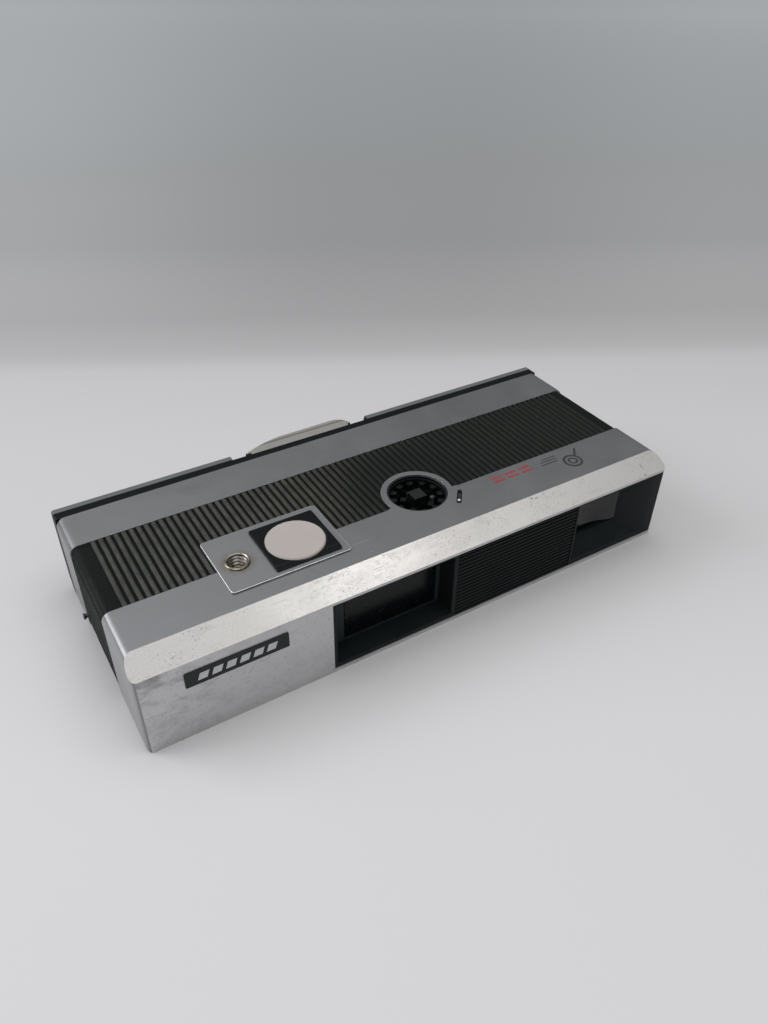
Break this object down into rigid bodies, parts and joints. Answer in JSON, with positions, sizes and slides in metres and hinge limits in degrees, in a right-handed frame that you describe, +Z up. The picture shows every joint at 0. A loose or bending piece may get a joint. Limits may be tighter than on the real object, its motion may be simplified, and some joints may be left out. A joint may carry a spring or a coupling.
{
  "type": "pocket film camera",
  "caption": "Flat pocket camera for drop-in film cartridges, with ribbed band, flash socket, hinged back and thumb advance.",
  "frame": {"origin": "middle of the bottom of the object's box, on the surface that it lies on", "axes": "+X along the camera from the badge end to the viewfinder end, +Y from the lens side to the back, +Z up"},
  "size_m": [0.1358, 0.0582, 0.0244],
  "materials": {
    "black_body": "fine moulded satin",
    "ribbed_black": "moulded ribs, dusty",
    "silver_cover": "satin anodised, smudged, bright worn bevel",
    "badge_black": "gloss black",
    "button_white": "satin off-white",
    "steel": "plain bright steel",
    "nickel_brass": "worn nickel over brass",
    "slide_grey": "satin warm grey",
    "gear_nylon": "natural nylon",
    "lens_glass": "clear, faintly blue",
    "dark_window": "smoked clear plastic",
    "label_window": "clear plastic"
  },
  "bodies": {
    "chassis": {"chassis": "black_body", "film_chamber": "black_body", "tripod_block": "black_body", "viewfinder_housing": "black_body", "rear_frame": "black_body", "front_cover": "silver_cover", "rear_cover": "silver_cover", "ribbed_cover": "ribbed_black", "bottom_cover": "black_body", "lens_bezel": "black_body", "grille_frame": "black_body", "viewfinder_bezel": "black_body", "grille_panel": "ribbed_black", "badge_plate": "badge_black", "release_plate": "silver_cover", "release_surround": "black_body", "release_spring": "steel", "lever_pin": "steel", "cable_release_bush": "nickel_brass", "flash_well": "black_body", "lens_window": "dark_window", "lens_retaining_ring": "black_body", "lens_front_element": "lens_glass", "lens_barrel": "black_body", "lens_rear_element": "lens_glass", "shutter_plate": "steel", "viewfinder_front_lens": "lens_glass", "viewfinder_tunnel": "black_body", "viewfinder_eyepiece": "lens_glass", "hinge_pin": "steel", "tripod_bush": "nickel_brass", "bottom_screw_1": "steel", "bottom_screw_2": "steel", "bottom_screw_3": "steel", "bottom_screw_4": "steel", "strap_lug": "steel"},
    "release_button": {"release_button": "button_white"},
    "release_lever": {"release_lever": "steel"},
    "shutter_blade": {"shutter_blade": "steel"},
    "flash_hub": {"flash_hub": "black_body"},
    "flash_sensor_pin": {"flash_sensor_pin": "steel"},
    "advance_slide": {"advance_slide": "slide_grey"},
    "advance_pinion": {"advance_pinion": "gear_nylon"},
    "film_drive_gear": {"film_drive_gear": "gear_nylon"},
    "back_door": {"back_door": "black_body", "door_window": "label_window", "pressure_spring_left": "steel", "pressure_spring_right": "steel"},
    "door_latch": {"door_latch": "black_body"}
  },
  "joints": [
    {"name": "release_press", "type": "slide", "parent": "chassis", "child": "release_button", "axis": [0, 0, -1], "range_m": [0, 0.0012], "stiffness_N_per_m": 800, "springref_m": -0.0005, "deforming": ["release_spring"]},
    {"name": "lever_rock", "type": "hinge", "parent": "chassis", "child": "release_lever", "pos_m": [-0.0173, -0.01142, 0.0184], "axis": [0, -1, 0], "range_deg": [0, 9]},
    {"name": "shutter_swing", "type": "hinge", "parent": "chassis", "child": "shutter_blade", "pos_m": [-0.0018, -0.01443, 0.0104], "axis": [0, 1, 0], "range_deg": [0, 35.2]},
    {"name": "flash_turn", "type": "hinge", "parent": "chassis", "child": "flash_hub", "pos_m": [0.007, -0.00932, 0.017], "axis": [0, 0, 1], "continuous": true},
    {"name": "sensor_press", "type": "slide", "parent": "chassis", "child": "flash_sensor_pin", "axis": [0, 0, -1], "range_m": [0, 0.0015], "stiffness_N_per_m": 200, "springref_m": -0.0005},
    {"name": "advance_travel", "type": "slide", "parent": "chassis", "child": "advance_slide", "axis": [1, 0, 0], "range_m": [-0.0037, 0.0042]},
    {"name": "pinion_turn", "type": "hinge", "parent": "chassis", "child": "advance_pinion", "pos_m": [0.0108, 0.00788, 0.0215], "axis": [0, 0, 1], "range_deg": [-51, 45]},
    {"name": "film_gear_turn", "type": "hinge", "parent": "chassis", "child": "film_drive_gear", "pos_m": [0.0193, 0.00058, 0.0215], "axis": [0, 0, 1], "range_deg": [-33.5, 38]},
    {"name": "door_open", "type": "hinge", "parent": "chassis", "child": "back_door", "pos_m": [0.0003, 0.02467, 0.00175], "axis": [-1, 0, 0], "range_deg": [0, 85]},
    {"name": "latch_slide", "type": "slide", "parent": "back_door", "child": "door_latch", "axis": [1, 0, 0], "range_m": [0, 0.003]}
  ],
  "couplings": [
    {"joint": "lever_rock", "follows": "release_press", "rad_per_m": 128.2},
    {"joint": "shutter_swing", "follows": "release_press", "rad_per_m": 509},
    {"joint": "pinion_turn", "follows": "advance_travel", "rad_per_m": -208.33},
    {"joint": "film_gear_turn", "follows": "advance_travel", "rad_per_m": 156.25}
  ]
}
